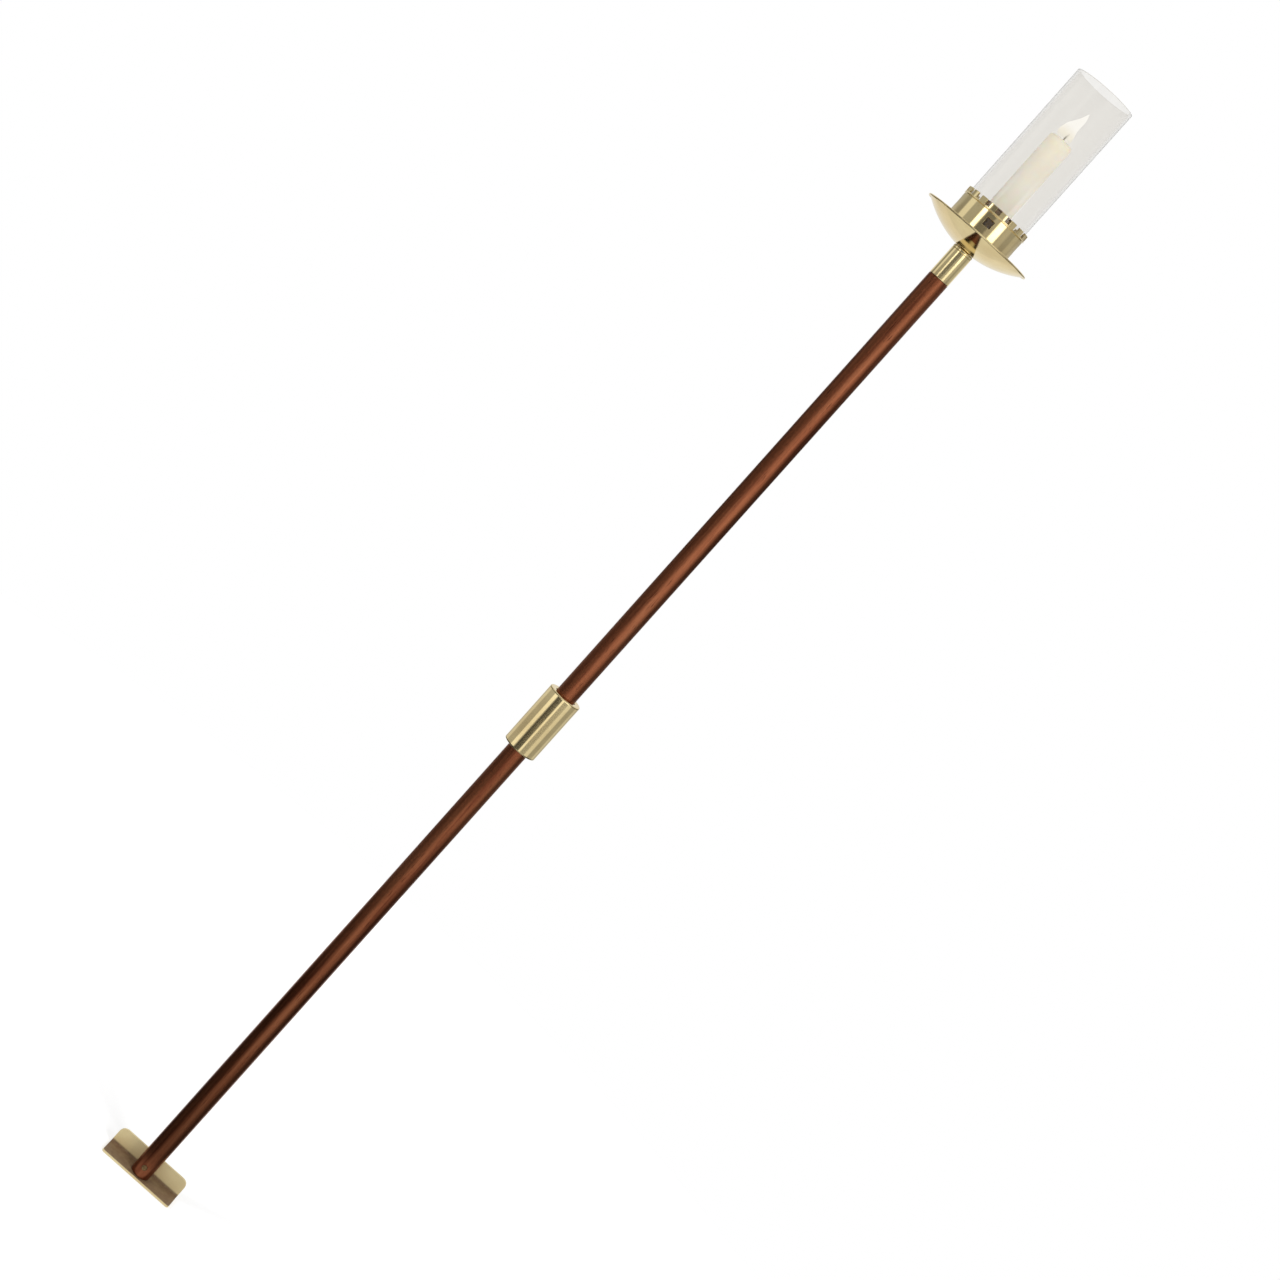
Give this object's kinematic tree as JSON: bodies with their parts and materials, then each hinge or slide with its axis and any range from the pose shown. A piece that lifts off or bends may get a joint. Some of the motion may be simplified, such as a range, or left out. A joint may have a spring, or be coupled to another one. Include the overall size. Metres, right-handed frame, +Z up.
{
  "type": "pew end candlestick",
  "caption": "Tall wooden staff that drops through a brass sleeve onto a pew bracket, with a brass drip pan, candle and open glass cylinder on top.",
  "frame": {"origin": "under the foot bracket's shelf, on the axis of the staff", "axes": "+Z up along the staff, -Y towards the aisle where the picture was taken from, +Y into the pew end"},
  "size_m": [0.138, 0.138, 1.6392],
  "materials": {
    "polished_brass": "polished and lacquered",
    "aged_brass": "dull",
    "steel": "zinc plated",
    "stained_wood": "dark walnut stain with satin varnish",
    "wax": "ivory candle wax",
    "wick": "cotton wick, charred at its tip",
    "clear_glass": "clear, fire polished edges"
  },
  "bodies": {
    "pew_fittings": {"foot_bracket": "polished_brass", "foot_screw_left": "polished_brass", "foot_screw_right": "polished_brass", "sleeve": "polished_brass", "sleeve_bolt_upper": "steel", "sleeve_bolt_lower": "steel", "sleeve_washer_upper": "steel", "sleeve_washer_lower": "steel"},
    "staff": {"lower_shaft": "stained_wood", "foot_peg": "polished_brass", "peg_screw": "aged_brass", "joint_stud": "steel", "upper_shaft": "stained_wood", "joint_insert": "aged_brass", "ferrule": "polished_brass", "ferrule_pin": "polished_brass", "centre_stud": "steel", "drip_pan": "polished_brass", "pan_collar": "polished_brass", "gallery": "polished_brass", "candle_socket": "aged_brass"},
    "candle": {"candle": "wax", "wick": "wick"},
    "glass": {"glass_cylinder": "clear_glass"}
  },
  "joints": [
    {"name": "staff_lift", "type": "slide", "parent": "pew_fittings", "child": "staff", "axis": [0, 0, 1], "range_m": [0, 0.775]},
    {"name": "candle_lift", "type": "slide", "parent": "staff", "child": "candle", "axis": [0, 0, 1], "range_m": [0, 0.2]},
    {"name": "glass_lift", "type": "slide", "parent": "staff", "child": "glass", "axis": [0, 0, 1], "range_m": [0, 0.21]}
  ]
}
